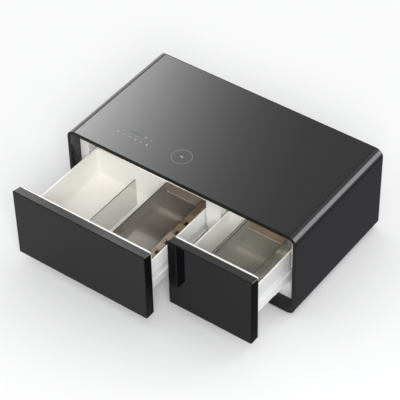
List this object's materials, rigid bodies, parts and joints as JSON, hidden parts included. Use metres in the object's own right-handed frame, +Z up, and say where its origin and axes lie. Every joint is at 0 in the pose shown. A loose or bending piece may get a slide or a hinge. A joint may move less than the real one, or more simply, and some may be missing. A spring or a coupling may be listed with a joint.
{
  "type": "refrigerator coffee table",
  "caption": "Low coffee table with a black glass top whose rounded body holds a refrigerator with sliding cold drawers on telescopic runners.",
  "frame": {"origin": "on the floor, under the centre of the table's bounding box with its drawers open as in the picture", "axes": "+X to the right along the table's width seen from its front, +Y from the front to the back, +Z up; the drawers open towards -Y"},
  "size_m": [1.2, 1.075, 0.457],
  "materials": {
    "black_lacquer": "satin",
    "black_glass": "gloss",
    "front_board": "satin",
    "black_plastic": "satin",
    "compressor_shell": "satin",
    "white_plastic": "satin",
    "white_steel": "satin",
    "grey_seal": "matte",
    "smoky_plastic": "gloss",
    "zinc_steel": "satin",
    "aluminium": "satin",
    "copper": "satin",
    "foot_rubber": "matte",
    "rigid_foam": "matte",
    "circuit_board": "satin",
    "light_cover": "gloss"
  },
  "bodies": {
    "cabinet": {"base_tray": "zinc_steel", "charging_coil": "copper", "compressor": "compressor_shell", "compressor_bracket": "zinc_steel", "condenser": "aluminium", "condenser_fan_frame": "black_plastic", "control_box": "white_plastic", "discharge_pipe": "copper", "drip_pan": "black_plastic", "evaporator_cover": "white_plastic", "evaporator_fan_frame": "black_plastic", "filter_drier": "copper", "foot_front_left": "foot_rubber", "foot_front_right": "foot_rubber", "foot_rear_left": "foot_rubber", "foot_rear_right": "foot_rubber", "front_frame": "white_plastic", "insulation": "rigid_foam", "left_cabinet_rail_left": "zinc_steel", "left_cabinet_rail_right": "zinc_steel", "left_evaporator": "aluminium", "left_light": "light_cover", "left_liner": "white_plastic", "outer_sleeve": "black_lacquer", "power_inlet": "black_plastic", "rear_cover": "black_plastic", "right_cabinet_rail_left": "zinc_steel", "right_cabinet_rail_right": "zinc_steel", "right_cold_plate": "aluminium", "right_light": "light_cover", "right_liner": "white_plastic", "suction_pipe": "copper", "top_glass": "black_glass", "touch_module": "circuit_board"},
    "left_drawer": {"left_front_glass": "black_glass", "left_front_core": "front_board", "left_inner_panel": "white_plastic", "left_gasket": "grey_seal", "left_tub": "white_plastic", "left_side_profile_left": "white_steel", "left_side_profile_right": "white_steel", "left_divider": "smoky_plastic", "left_tray": "smoky_plastic"},
    "right_drawer": {"right_front_glass": "black_glass", "right_front_core": "front_board", "right_inner_panel": "white_plastic", "right_gasket": "grey_seal", "right_tub": "white_plastic", "right_side_profile_left": "white_steel", "right_side_profile_right": "white_steel", "right_tray": "smoky_plastic"},
    "left_runner": {"left_middle_rail_left": "zinc_steel", "left_middle_rail_right": "zinc_steel"},
    "right_runner": {"right_middle_rail_left": "zinc_steel", "right_middle_rail_right": "zinc_steel"},
    "condenser_fan": {"condenser_fan_rotor": "black_plastic"},
    "evaporator_fan": {"evaporator_fan_rotor": "black_plastic"}
  },
  "joints": [
    {"name": "left_drawer_slide", "type": "slide", "parent": "cabinet", "child": "left_drawer", "axis": [0, -1, 0], "range_m": [-0.406, 0.03]},
    {"name": "right_drawer_slide", "type": "slide", "parent": "cabinet", "child": "right_drawer", "axis": [0, -1, 0], "range_m": [-0.271, 0.025]},
    {"name": "left_runner_slide", "type": "slide", "parent": "cabinet", "child": "left_runner", "axis": [0, -1, 0], "range_m": [-0.203, 0.015]},
    {"name": "right_runner_slide", "type": "slide", "parent": "cabinet", "child": "right_runner", "axis": [0, -1, 0], "range_m": [-0.1355, 0.0125]},
    {"name": "condenser_fan_spin", "type": "hinge", "parent": "cabinet", "child": "condenser_fan", "pos_m": [0.2333, 0.4284, 0.1066], "axis": [1, 0, 0], "continuous": true},
    {"name": "evaporator_fan_spin", "type": "hinge", "parent": "cabinet", "child": "evaporator_fan", "pos_m": [-0.06, 0.4192, 0.257], "axis": [0, 1, 0], "continuous": true}
  ],
  "couplings": [
    {"joint": "left_runner_slide", "follows": "left_drawer_slide", "ratio": 0.5},
    {"joint": "right_runner_slide", "follows": "right_drawer_slide", "ratio": 0.5}
  ]
}
